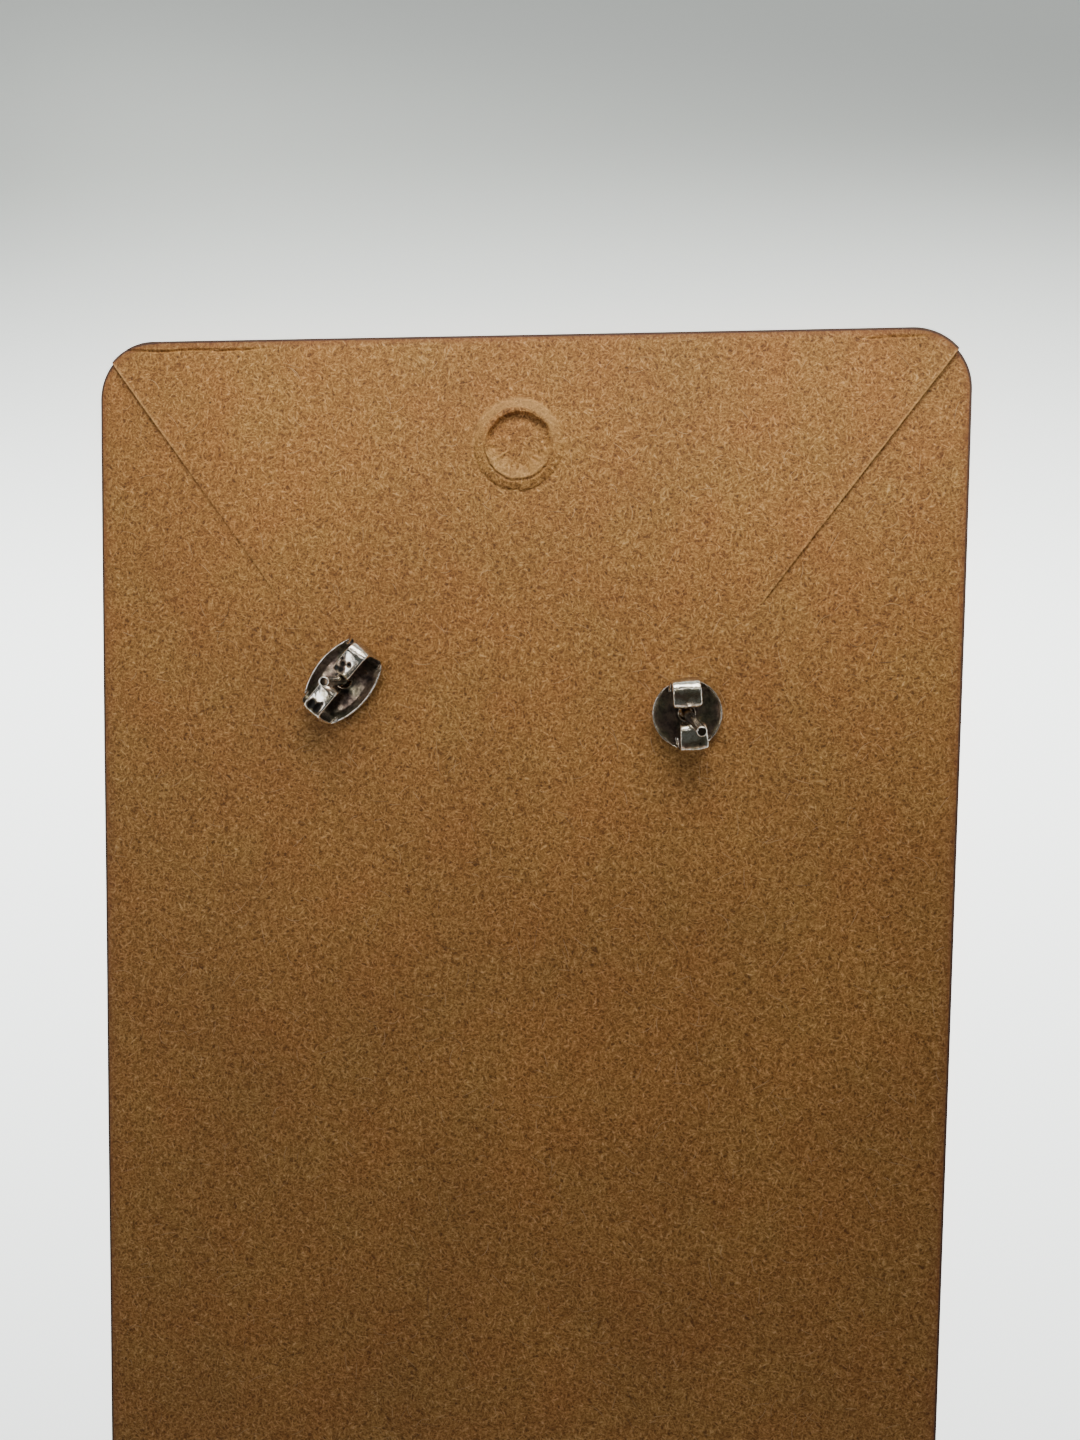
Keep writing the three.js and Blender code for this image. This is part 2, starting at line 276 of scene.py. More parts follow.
def ring_relief(x, y):
    """The hang hole: a cone rises to a crest, behind which a disc lies a little lower. The crest
    is sharp towards the top edge of the card and broken to a ragged slope on the other side."""
    dx, dy = x - HANG_HOLE[0], y - HANG_HOLE[1]
    angle, radius = np.arctan2(dy, dx), np.hypot(dx, dy)
    lower = smoothstep(0.5 - 0.9 * np.sin(angle))
    upper = smoothstep(0.3 + 0.9 * np.sin(angle))
    foot = RING_OUT - 0.1 * np.sin(angle) + 0.1 * np.cos(angle) + ragged(angle, 0.045, 3)
    crest = RING_IN - 0.2 * np.sin(angle) + 0.12 * np.cos(angle) + ragged(angle, 0.03, 5)
    step = (0.05 + 0.07 * upper) * smoothstep((foot - radius) / 0.12)
    cone = step + (RING_HEIGHT - step) * np.clip((foot - radius) / (foot - crest), 0, 1)
    slope = 0.12 + lower * (0.95 + ragged(angle, 0.2, 8))
    inside = RING_HEIGHT * (1 - np.clip((crest - radius) / slope, 0, 1))
    floor = -0.1 - 0.05 * upper * smoothstep((radius - 1.0) / 1.0)
    inside = floor + inside * (1 - floor / RING_HEIGHT)
    rough = 0.02 * np.sin(9 * dx + 2 * np.sin(7 * dy)) * np.sin(8 * dy + np.sin(11 * dx))
    inside = inside + rough * smoothstep((crest - radius) / 0.3)
    crack = -CRACK_DEPTH * np.exp(-((radius - crest - 0.04) / CRACK_WIDTH) ** 2) * (0.2 + 0.8 * lower)
    foot_crease = -FOOT_DEPTH * np.exp(-((radius - foot - 0.03) / FOOT_WIDTH) ** 2) * lower
    return np.where(radius > crest, cone, inside) + crack + foot_crease


def torn(x, y):
    """How much pale colour is laid on: torn pulp, put only on the sides that face the key light, so
    it is also a painted highlight. It lies on the upper half of the hang hole's ring, on the bevel
    inside its lower half, and on the lips of the cuts."""
    dx, dy = x - HANG_HOLE[0], y - HANG_HOLE[1]
    turn, radius = np.arctan2(dy, dx), np.hypot(dx, dy)
    band = smoothstep((radius - RING_IN) / 0.15) * smoothstep((RING_OUT + 0.1 - radius) / 0.15)
    bevel = smoothstep((radius - 1.35 + ragged(turn, 0.2, 8)) / 0.2) * (radius < RING_IN + 0.15)
    # the ring's upper half and the bevel's lower side face the key light: the pale share there is a
    # painted highlight as well as pulp
    ring = 0.75 * band * smoothstep(0.3 + np.sin(turn))
    ring = ring + 0.6 * bevel * smoothstep(0.1 - 1.2 * np.sin(turn))
    along, far = slit_place(x, y)
    left_share = smoothstep((along - 0.5) / 0.2) + 0.5 * smoothstep(1 - np.abs(along - 0.12) / 0.12)
    share = np.where(x > 0, 0.35 + 0.65 * smoothstep((along - 0.3) / 0.3), left_share)
    return np.clip(ring + share * smoothstep(along / 0.05) * np.exp(-(far / 0.1) ** 2), 0, 1)


def crease(x, y, start, stop, height, depth):
    """A shallow groove along a line that wavers a little. It fades in over 1 mm, out over 3 mm."""
    fade = smoothstep((x - start) / 1.0) * smoothstep((stop - x) / 3.0)
    line = height + 0.05 * np.sin(1.3 * x) + 0.03 * np.sin(3.1 * x + 1)
    return -depth * fade * np.exp(-((y - line) / 0.08) ** 2)


def card_wave(x, y):
    """A slow wave a few hundredths of a millimetre high, nothing at the bottom edge."""
    wave = np.sin(0.11 * x + 0.6) * np.sin(0.08 * y + 0.4) + 0.4 * np.sin(0.23 * y - 0.13 * x)
    return 0.035 * wave * smoothstep((y + HALF_HEIGHT) / 12)


def rounding(edge, radius):
    """How far a quarter-round edge has dropped, by the distance in from the outline."""
    return radius * (1 - np.sqrt(1 - np.clip(1 - edge / radius, 0, 1) ** 2))


def flap_drop(x, along, far):
    """How far the loose corner hangs: more towards its outer end, most on the right one."""
    most = np.where(x > 0, 0.32, 0.14)
    return smoothstep(along / 0.06) * (0.05 + most * along ** 1.6) * np.exp(-far / 9)


def card_back(x, y, flap):
    """Height of the card's upward side. flap is true on the loose corner outside each cut."""
    edge = edge_distance(x, y)
    z = card_wave(x, y)
    z = z - CRUSH * (1 - smoothstep(edge / CRUSH_BAND)) - rounding(edge, BACK_ROUND)
    for start, stop, height, depth in CREASES:
        z = z + crease(x, y, start, stop, height, depth)
    along, far = slit_place(x, y)
    left_share = 0.25 + 0.75 * smoothstep((along - 0.55) / 0.2)
    lip_share = smoothstep(along / 0.06) * np.where(x > 0, 1.0, left_share)
    lip = lip_share * (0.075 * np.exp(-(far / 0.11) ** 2) + 0.06 * np.exp(-far / 0.7))
    z = z + np.where(flap, -flap_drop(x, along, far), lip)
    near_hole = np.hypot(x - HANG_HOLE[0], y - HANG_HOLE[1]) < RING_OUT + 0.8
    return np.where(near_hole, z + ring_relief(x, y), z)


def card_front(x, y, flap):
    """Height of the side that lies down: the back's, a board's thickness lower, without the finer
    relief, and rounded at the edge."""
    drop = flap_drop(x, *slit_place(x, y))
    z = card_wave(x, y) - BOARD - np.where(flap, drop, 0)
    return z + rounding(edge_distance(x, y), FRONT_ROUND)


# %% [markdown]
# Now the grid. The middle of the card and the two loose corners are grids of their own.
# They share the line of the cut: below its inner end the points of both are the same and
# weld, and above it they stand a hair apart.

# %% Rows and columns
NEAR_EDGE = np.array([0.0, 0.02, 0.04, 0.07, 0.12, 0.22, 0.4])    # crowded beside an edge or cut
BAND = 0.7               # width of the crowded band
UPRIGHT = 5              # how far from the centre line the columns stay upright
quarter = HALF_HEIGHT - CORNER
low_turn = np.radians(np.linspace(90, 0, 13))
high_turn = np.radians(np.linspace(77, 90, 7))
ROW_STEPS = [            # from, to, step, in mm: finest at the hang hole and at the two creases
    (-quarter, 17.5, 0.55), (17.5, 23.2, 0.3), (23.2, SLIT_INNER[1], 0.5),
    (SLIT_INNER[1], 33.2, 0.4), (33.2, 41.0, 0.2), (41.0, slit_end, 0.2),
    (slit_end, 44.1, 0.17), (44.1, 44.6, 0.04), (44.6, 44.9, 0.1)]
rows = [-(quarter + CORNER * np.sin(low_turn)), NEAR_EDGE - HALF_HEIGHT]
rows += [between(*stretch) for stretch in ROW_STEPS]
rows += [quarter + CORNER * np.sin(high_turn)]
rows = np.unique(np.concatenate(rows).round(5))

inner = np.concatenate([between(0, UPRIGHT, 0.2), between(UPRIGHT, SLIT_INNER[0] - BAND, 0.45),
                        SLIT_INNER[0] - BAND + (BAND - NEAR_EDGE[::-1])])
inner = np.unique(np.concatenate([inner, -inner]).round(5))
outer = np.concatenate([NEAR_EDGE, between(BAND, HALF_WIDTH - SLIT_INNER[0] - BAND, 0.55)])
outer = np.concatenate([outer, HALF_WIDTH - SLIT_INNER[0] - NEAR_EDGE[::-1]])


def middle_x(column, y):
    """Columns of the card's middle: upright up to 5 mm from the centre line, spread evenly from
    there to the band beside the cut, and at a fixed distance from the cut inside that band."""
    size = np.abs(column)
    slit = slit_x(y)
    full = SLIT_INNER[0] - BAND
    spread = UPRIGHT + (size - UPRIGHT) * (slit - BAND - UPRIGHT) / (full - UPRIGHT)
    beside = slit - (SLIT_INNER[0] - size)
    leaning_x = np.where(size <= full, spread, beside)
    return np.sign(column) * np.where(size <= UPRIGHT, size, leaning_x)


def corner_x(column, y):
    """Columns outside the cut, by their distance from it: in bands at a fixed distance from the
    cut and from the card's edge, as long as both fit, and spread evenly between the bands."""
    full = HALF_WIDTH - SLIT_INNER[0]
    slit, edge = slit_x(y), half_width(y)
    band = np.minimum(BAND, 0.45 * (edge - slit))
    spread = slit + band + (column - BAND) * (edge - slit - 2 * band) / (full - 2 * BAND)
    from_edge = edge - (full - column) * band / BAND
    return np.where(column <= BAND, slit + column * band / BAND,
                    np.where(column >= full - BAND, from_edge, spread))


def open_cut(x, y, way):
    """Moves points beside a cut away from it by half its gape; way is 1 outside it, -1 inside."""
    along, far = slit_place(x, y)
    push = way * SLIT_GAPE / 2 * smoothstep(along / 0.1) * (1 - smoothstep(far / BAND))
    push = push * (y > SLIT_INNER[1])
    moved_x = x + np.sign(x) * push * SLIT_RUN[1] / SLIT_LENGTH
    return moved_x, y - push * SLIT_RUN[0] / SLIT_LENGTH


column_grid, row_grid = np.meshgrid(inner, rows)
middle = np.stack(open_cut(middle_x(column_grid, row_grid), row_grid, -1), -1)
column_grid, row_grid = np.meshgrid(outer, rows)
right_corner = np.stack(open_cut(corner_x(column_grid, row_grid), row_grid, 1), -1)
left_corner = right_corner[:, ::-1] * [-1, 1]
print("middle grid:", middle.shape[:2], "corner grids:", right_corner.shape[:2])

# %% [markdown]
# The holes for the two posts and the ring of the hang hole take a patch of rings each. The
# patches are cut into the middle grid at whole rows and columns.

# %% The board as one closed skin
POST_HOLE = 0.6
card = Skin()


def board_grid(flat, flap=False, keep=None, flip=False):
    """Adds a flat grid twice: as the upward side, and turned over as the side that lies down."""
    x, y = flat[..., 0], flat[..., 1]
    worn = 1 - smoothstep(edge_distance(x, y) / 0.75)
    back = np.stack([x, y, card_back(x, y, flap)], -1)
    front = np.stack([x, y, card_front(x, y, flap)], -1)
    card.grid(back, keep=keep, flip=flip, worn=worn, torn=0.0 if flap else torn(x, y))
    card.grid(front, keep=keep, flip=not flip, worn=worn, torn=0.0)
    return back, front


def wall(back, front, turn_over=False):
    """Adds the cut edge between the two sides, along a line of points of each."""
    share = np.linspace(0, 1, 4)[:, None, None]
    # the walls take the darkest edge colour; in the narrow cuts this is painted shade
    card.grid(back[None] * (1 - share) + front[None] * share, flip=turn_over, worn=1.0, torn=0.0)


POST_RINGS = np.array([0.9, 0.75, 0.66, POST_HOLE])
HANG_RINGS = np.concatenate([between(3.4, 2.9, 0.05), between(2.9, 2.35, 0.08),
                             between(2.35, 1.95, 0.03), between(1.95, 1.2, 0.06),
                             between(1.2, 0.1, 0.14), [0.0]])
POST_PATCH, HANG_PATCH = 1.3, 4.2        # half the side of the square that a patch fills

keep_middle = np.ones((len(rows) - 1, len(inner) - 1), bool)
for centre, reach, radii in ((stud_place("left"), POST_PATCH, POST_RINGS),
                             (stud_place("right"), POST_PATCH, POST_RINGS),
                             (HANG_HOLE, HANG_PATCH, HANG_RINGS)):
    i0, i1 = around(rows, centre[1], reach)
    j0, j1 = around(inner, centre[0], reach)
    keep_middle[i0:i1, j0:j1] = False
    border = border_of(middle, (i0, i1), (j0, j1))
    back, front = board_grid(rings(border, centre, radii, 3))
    if radii[-1] > 0:                    # a post's hole is open, the hang hole's disc is whole
        wall(back[-1], front[-1])

back, front = board_grid(middle, keep=keep_middle)
wall(back[0], front[0], turn_over=True)
wall(back[-1], front[-1])
cut_rows = rows >= SLIT_INNER[1] - 1e-4
wall(back[cut_rows, -1], front[cut_rows, -1], turn_over=True)
wall(back[cut_rows, 0], front[cut_rows, 0])

below_end = rows <= slit_end + 1e-4
flap_rows = below_end & cut_rows
for corner, inside, outside in ((right_corner, 0, -1), (left_corner, -1, 0)):
    back, front = board_grid(corner, flap=True)
    wall(back[0], front[0], turn_over=True)
    wall(back[below_end, outside], front[below_end, outside], turn_over=outside == -1)
    wall(back[flap_rows, inside], front[flap_rows, inside], turn_over=outside == 0)

kraft_card = card.mesh("kraft_card", from_card)
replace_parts(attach(kraft_card, "carded_studs"), "card")

# %% [markdown]
# Brown kraft pulp isn't bleached or refined much, so whole fibres lie on the board's surface:
# pale ones of clean wood and dark ones of bark, some of them millimetres long and curled. The
# material draws the short ones. The long ones are real hairs, about a thousand in one mesh,
# each a three-sided thread that bends at a steady rate and ends in a point. They are 0.03 to
# 0.06 mm thick, up to about twice a real fibre's thickness, so that they show.

# %% Loose fibres
def hairs(count, seed, length, radius, bend):
    """Points of bent threads, count x stations x 3 sides, and for each thread a tone from 0 to 1.

    A thread starts in a random direction and turns by a random total, spread evenly along it, so
    its middle line is the running sum of its steps. Its radius is that of half an ellipse."""
    rng = np.random.default_rng(seed)
    stations = 7
    share = np.linspace(0, 1, stations)
    start = rng.uniform([-HALF_WIDTH, -HALF_HEIGHT], [HALF_WIDTH, HALF_HEIGHT], (count, 2))
    heading = rng.uniform(0, 2 * np.pi, count)[:, None]
    heading = heading + rng.normal(0, bend, count)[:, None] * share
    long = rng.uniform(*length, count)[:, None] / (stations - 1)
    x = start[:, :1] + np.cumsum(np.cos(heading) * long, 1)
    y = start[:, 1:] + np.cumsum(np.sin(heading) * long, 1)
    thick = rng.uniform(*radius, count)[:, None]
    thick = thick * np.sqrt(np.maximum(1 - (2 * share - 1) ** 2, 0))
    side = np.radians([90, 210, 330])
    out = thick[..., None] * np.cos(side)
    up = thick[..., None] * np.sin(side)
    points = np.stack([x[..., None] - np.sin(heading)[..., None] * out,
                       y[..., None] + np.cos(heading)[..., None] * out,
                       np.broadcast_to(up, (count, stations, 3))], -1)
    return points, rng.uniform(0, 1, count)


HAIRS = [                # shade, count, seed, length, radius, bend, in mm and radians
    (0.0, 200, 11, (0.4, 1.6), (0.014, 0.026), 1.1),
    (0.0, 26, 12, (1.5, 3.0), (0.018, 0.028), 1.6),
    (1.0, 900, 13, (0.5, 1.7), (0.016, 0.03), 1.0)]
LIE = 0.004              # how far a thread's middle line is above the board

fibres = Skin()
for shade, count, seed, length, radius, bend in HAIRS:
    points, tone = hairs(count, seed, length, radius, bend)
    x, y = points[..., 0], points[..., 1]
    flap = (y > SLIT_INNER[1]) & (np.abs(x) > slit_x(y))
    points[..., 2] += card_back(x, y, flap) + LIE
    clear = (edge_distance(x, y) > 0.3) & (slit_place(x, y)[1] > 0.25)
    clear &= np.hypot(x - HANG_HOLE[0], y - HANG_HOLE[1]) > RING_OUT + 0.2
    for side in ("left", "right"):
        clear &= np.hypot(x - stud_place(side)[0], y - stud_place(side)[1]) > POST_HOLE + 0.3
    clear = clear.all((1, 2))
    around_thread = np.concatenate([points, points[:, :, :1]], 2)[clear]
    threads, stations = around_thread.shape[:2]
    keep = np.tile(np.arange(stations) < stations - 1, threads)[:-1, None] & np.ones(3, bool)
    its_shade = np.repeat(0.75 * shade + 0.25 * tone[clear], stations)[:, None]
    fibres.grid(around_thread.reshape(-1, 4, 3), keep=keep, shade=its_shade)

loose_fibres = fibres.mesh("kraft_fibres", from_card)
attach(loose_fibres, "carded_studs")

# %% [markdown]
# ## The studs
#
# A stud is a domed head with a post soldered to the middle of its back. Both are turned
# forms: a profile goes round an axis. But the post leans, as posts that have been worn do,
# so the profile goes round two axes, that of the head and that of the post, and each point
# of the profile says how far it has gone over from the one to the other. The change takes
# place in the small fillet of solder.

# %% Studs
HEAD = {"radius": 3.0, "thickness": 1.4, "rim": 0.35, "flat": 0.6, "back": -BOARD - 0.05}
POST = {"radius": 0.345, "tip": 6.6}
RIM_TURN, BACK_TURN = 0.1, 0.06          # radii of the head's two rounded edges
FILLET, SHOULDER = 0.22, 0.13            # radii of the solder and of the post's worn end
CUP = 0.014                              # how far the cut end of the post is hollowed


def arc(centre, radius, start, stop, count):
    """Points on a circle from one angle to another, in degrees: centre plus radius times
    cosine and sine."""
    angle = np.radians(np.linspace(start, stop, count))
    return np.stack([centre[0] + radius * np.cos(angle), centre[1] + radius * np.sin(angle)], -1)


def leaning(towards_x, towards_y):
    """The direction of something that leans by so many degrees towards +X and +Y."""
    way = np.array([math.tan(math.radians(towards_x)), math.tan(math.radians(towards_y)), 1.0])
    return way / np.linalg.norm(way)


def stud(side, post_lean):
    """Head and post in one skin. Each row is (radius, height, share of the post's axis)."""
    place = stud_place(side)
    way = leaning(*post_lean)
    low = HEAD["back"] - HEAD["thickness"]
    rise = HEAD["thickness"] - HEAD["rim"]
    ball = (HEAD["radius"] ** 2 + rise ** 2) / (2 * rise)
    dome_r = np.concatenate([[0, HEAD["flat"] * 0.5, HEAD["flat"]],
                             np.linspace(HEAD["flat"], HEAD["radius"] - 0.12, 26)[1:]])
    dome_z = low + ball - np.sqrt(ball ** 2 - np.maximum(dome_r, HEAD["flat"]) ** 2)
    dome = np.stack([dome_r, dome_z], -1)
    rim_foot = dome[-1, 1]
    turn = arc((HEAD["radius"] - RIM_TURN, rim_foot + RIM_TURN), RIM_TURN, -50, 0, 5)
    back_turn = arc((HEAD["radius"] - BACK_TURN, HEAD["back"] - BACK_TURN), BACK_TURN, 0, 90, 5)
    back = np.array([[2.0, HEAD["back"]], [1.2, HEAD["back"]], [0.57, HEAD["back"]]])
    head = np.concatenate([dome, turn, back_turn, back])
    fillet = arc((POST["radius"] + FILLET, HEAD["back"] + FILLET), FILLET, 270, 180, 7)[1:]
    tip = POST["tip"] / way[2]
    shaft_z = np.linspace(HEAD["back"] + 0.3, tip - 0.16, 12)
    shaft = np.stack([np.full(len(shaft_z), POST["radius"]), shaft_z], -1)
    shoulder = arc((POST["radius"] - SHOULDER, tip - 0.15), SHOULDER, 0, 66, 7)
    crown_r = shoulder[-1, 0] * np.array([0.9, 0.75, 0.6, 0.4, 0.2, 0])
    crown = np.stack([crown_r, shoulder[-1, 1] - CUP * (1 - (crown_r / shoulder[-1, 0]) ** 2)], -1)
    profile = np.concatenate([head, fillet, shaft, shoulder, crown])
    share = np.concatenate([np.zeros(len(head)), smoothstep(np.linspace(0, 1, len(fillet))),
                            np.ones(len(shaft) + len(shoulder) + len(crown))])[:, None, None]
    angle = np.linspace(0, 2 * np.pi, 49)
    angle[-1] = 0
    upright = np.stack([profile[:, :1] * np.cos(angle), profile[:, :1] * np.sin(angle),
                        np.broadcast_to(profile[:, 1:], (len(profile), len(angle)))], -1)
    e1 = np.cross([0, 1, 0], way)
    e1 = e1 / np.linalg.norm(e1)
    tilted = upright @ np.stack([e1, np.cross(way, e1), way])
    skin = Skin()
    dull = np.concatenate([np.zeros(len(profile) - len(crown_r)), np.ones(len(crown_r))])[:, None]
    skin.grid(upright * (1 - share) + tilted * share + [place[0], place[1], 0], dull=dull)
    made = skin.mesh(f"{side}_silver_stud", from_card)
    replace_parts(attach(made, "carded_studs"), f"{side}_stud")
    return made


studs = [stud("left", (4.2, 0.6)), stud("right", (7.0, -7.3))]

# %% [markdown]
# ## The clutches
#
# A butterfly clutch is one strip of thin silver. Its middle is a pan with a hole for the
# post, and its two ends are bent up, over and down again to pinch the post from both sides.
# It could be a flat plate thickened by a modifier, but then every edge would be square.
#
# Here the middle surface of the sheet is worked out first: a grid that follows the strip
# from the tip of one ear, through the pan, to the tip of the other. Half the thickness goes
# to each side of it. Near a free edge the thickness closes to nothing along a quarter
# circle, which rounds the edge and welds the two sides there.
#
# A clutch has its own axes: X along the strip, Y across it and Z up the post's way.

# %% Sheet metal helpers
SHEET = 0.22                                        # thickness of the silver
EDGE_TURN = np.radians([0, 22, 45, 67, 90])
EDGE_IN = SHEET / 2 * (1 - np.cos(EDGE_TURN))       # distance in from a free edge
EDGE_FULL = np.sin(EDGE_TURN)                       # share of the full thickness there
TUCK_RADIUS, TUCK_TURN = 0.22, 60                   # the ear's last curl
PAN_HOLE = 0.52
PAN_RISE = 0.28                                     # height of the pan's rim over its floor
RIM_BRIGHT = 0.27                                   # width of the rim that wear keeps bright
LINES, WING_LINES = 34, 12                          # lines across the strip, and across a wing
WING_TURN = np.radians(np.linspace(0, 90, 12)[1:])  # a wing's stations past the floor's ends
UP = np.array([0.0, 0.0, 1.0])


def lines_between(low, high, count):
    """Lines from one edge of a strip to the other: crowded at both edges, even in between.

    low and high hold an edge position for each station; the result is lines x stations."""
    squeeze = np.clip((high - low) / (2.2 * EDGE_IN[-1]), 0, 1)
    near = EDGE_IN[:, None] * squeeze
    share = np.linspace(0, 1, count + 2)[1:-1, None]
    inside = (low + near[-1]) * (1 - share) + (high - near[-1]) * share
    return np.concatenate([low + near, inside, (high - near)[::-1]])


def fullness(low_free, high_free, count):
    """Share of the full thickness on each of those lines, closing only at edges that are free."""
    low = 1 - low_free * (1 - EDGE_FULL[:, None])
    high = 1 - high_free * (1 - EDGE_FULL[:, None])
    return np.concatenate([low, np.ones((count, len(low_free))), high[::-1]])


def ear_line(ear):
    """The middle of an ear's sheet seen from the side: out of the pan, up, over and down beside
    the post, then tucked away from it. Returns its points, and the length run at each."""
    names = ("reach", "top", "outer_r", "inner_r", "gap")
    reach, top, outer_r, inner_r, gap = (ear[key] for key in names)
    mid = SHEET / 2
    lower_r = min(outer_r, top / 2)
    tuck_z = mid + (top - inner_r) / 2
    line = np.concatenate([
        arc((reach - lower_r, mid + lower_r), lower_r, -90, 0, 22),
        arc((reach - outer_r, mid + top - outer_r), outer_r, 0, 90, 22),
        np.linspace((reach - outer_r, mid + top), (gap + inner_r, mid + top), 18),
        arc((gap + inner_r, mid + top - inner_r), inner_r, 90, 180, 14),
        np.linspace((gap, mid + top - inner_r), (gap, tuck_z), 12),
        arc((gap + TUCK_RADIUS, tuck_z), TUCK_RADIUS, 180, 180 + TUCK_TURN, 6)])
    step = np.hypot(*np.diff(line, axis=0).T)
    line = line[np.concatenate([[True], step > 1e-4])]
    run = np.concatenate([[0], np.cumsum(np.hypot(*np.diff(line, axis=0).T))])
    close = run[-1] - EDGE_IN[::-1]                 # the end closes like any other free edge
    stations = np.concatenate([run[run < close[0] - 0.01], close])
    return np.stack([np.interp(stations, run, line[:, k]) for k in (0, 1)], -1), stations


# %% [markdown]
# The pans differ. One is barrel shaped: two long arcs, nearly cut off at the ends by the
# bends of the ears. The other is round. Each is a function that gives half the pan's width
# at a place along the strip, and one that gives the distance in from its outline.

# %% The two pans
def barrel(half_length, half_width, end_half_width):
    """Two arcs that bulge from the end's half width to the middle's."""
    sag = half_width - end_half_width
    radius = (half_length ** 2 + sag ** 2) / (2 * sag)
    centre = half_width - radius
    return {"width": lambda x: centre + np.sqrt(radius ** 2 - x ** 2),
            "inset": lambda x, y: radius - np.hypot(x, np.abs(y) - centre),
            "length": lambda y: math.sqrt(radius ** 2 - (y - centre) ** 2)}


def disc(radius):
    """A circle."""
    return {"width": lambda x: np.sqrt(np.maximum(radius ** 2 - x ** 2, 0)),
            "inset": lambda x, y: radius - np.hypot(x, y),
            "length": lambda y: math.sqrt(radius ** 2 - y ** 2)}


CLUTCHES = {
    "left": {
        "lean": (-1.5, 0.0), "lift": 0.15, "strip": 50.0, "notch": 1.40,
        "pan": barrel(2.9, 2.15, 1.35), "rim": 0.75,
        "ears": [
            {"reach": 2.87, "top": 2.1, "outer_r": 0.8, "inner_r": 0.4, "gap": 0.62,
             "root": 1.39, "tip": 0.71, "taper": 2.2, "side": -0.05},
            {"reach": 2.94, "top": 1.72, "outer_r": 0.7, "inner_r": 0.4, "gap": 0.66,
             "root": 1.39, "tip": 0.70, "taper": 2.0, "side": -0.08}],
    },
    "right": {
        "lean": (5.0, -5.0), "lift": 0.36, "strip": 95.5, "notch": 1.0,
        "pan": disc(2.36), "rim": 0.45,
        "ears": [
            {"reach": 2.37, "top": 2.0, "outer_r": 0.8, "inner_r": 0.45, "gap": 0.7,
             "root": 0.98, "tip": 0.95, "taper": 2.2, "side": -0.08},
            {"reach": 2.35, "top": 1.95, "outer_r": 0.8, "inner_r": 0.45, "gap": 0.6,
             "root": 0.99, "tip": 0.84, "taper": 5.0, "side": 0.18}],
    },
}

# %% [markdown]
# Both clutches are well worn. Small dents and pits mark the ears.
# Each is a bell-shaped hollow pressed into the outside of the sheet, placed by how far it
# is along the ear and how far off its middle line.

# %% Dents
DENTS = {                # (ear, run along it, across, radius, depth), in mm
    "left": [(0, 3.55, -0.14, 0.12, 0.09), (0, 3.75, 0.25, 0.16, 0.09), (0, 3.5, 0.5, 0.1, 0.07),
             (0, 4.15, 0.1, 0.2, 0.06), (0, 4.3, 0.45, 0.16, 0.06),
             (1, 2.3, 0.22, 0.2, 0.14), (1, 2.55, 0.26, 0.18, 0.1),
             (1, 2.35, -0.26, 0.2, 0.14), (1, 2.62, -0.24, 0.18, 0.11), (1, 2.9, -0.35, 0.1, 0.05)],
    "right": [(0, 3.0, 0.05, 0.38, 0.035), (0, 3.05, -0.6, 0.3, 0.03), (0, 3.0, 0.6, 0.28, 0.03),
              (0, 4.3, -0.45, 0.2, 0.06), (1, 3.5, -0.2, 0.12, 0.04), (1, 2.6, 0.0, 0.3, 0.04),
              (1, 2.6, 0.55, 0.22, 0.04), (1, 2.6, -0.5, 0.24, 0.04)],
}


def dented(side, which, run, across):
    """Depth pressed into the sheet: the sum of the bells exp(-(distance / radius) squared)."""
    depth = np.zeros(np.broadcast(run, across).shape)
    for ear, at_run, at_across, radius, deep in DENTS[side]:
        if ear == which:
            far = np.hypot(run - at_run, across - at_across)
            depth = depth + deep * np.exp(-(far / radius) ** 2)
    return depth


# %% [markdown]
# Tarnish is thick where a cloth never reaches: in the pan, inside the curls and in the
# dents. It wears off on rims, edges and the tops of the ears. That is a matter of shape, so
# it is worked out here with the points and given to the material as an attribute.

# %% One clutch
def pan_height(spec, x, y):
    """Middle of the sheet in the pan: a flat floor that curls up to the rim."""
    share = 1 - spec["pan"]["inset"](x, y) / spec["rim"]
    return SHEET / 2 + PAN_RISE * smoothstep(share) * np.clip(share, 0, 1) ** 0.5


def add_sheet(skin, middle, normal, full, tarnish_in, tarnish_out, keep=None):
    """Adds both sides of a sheet, half the thickness along the normal to each side."""
    half = SHEET / 2 * full[..., None] * normal
    bright = np.where(full < 0.95, 0.2, 1.0)
    skin.grid(middle + half, keep=keep, tarnish=tarnish_in * bright)
    skin.grid(middle - half, keep=keep, flip=True, tarnish=tarnish_out * bright)


def lower_turn(ear):
    """Radius of the bend where an ear leaves the pan: no more than half the ear's height."""
    return min(ear["outer_r"], ear["top"] / 2)


def pan_inside(spec, x, y, bright):
    """Tarnish of the pan's upper side: heavy on the floor, little by the rim."""
    return 0.66 - bright * smoothstep(1 - spec["pan"]["inset"](x, y) / RIM_BRIGHT)


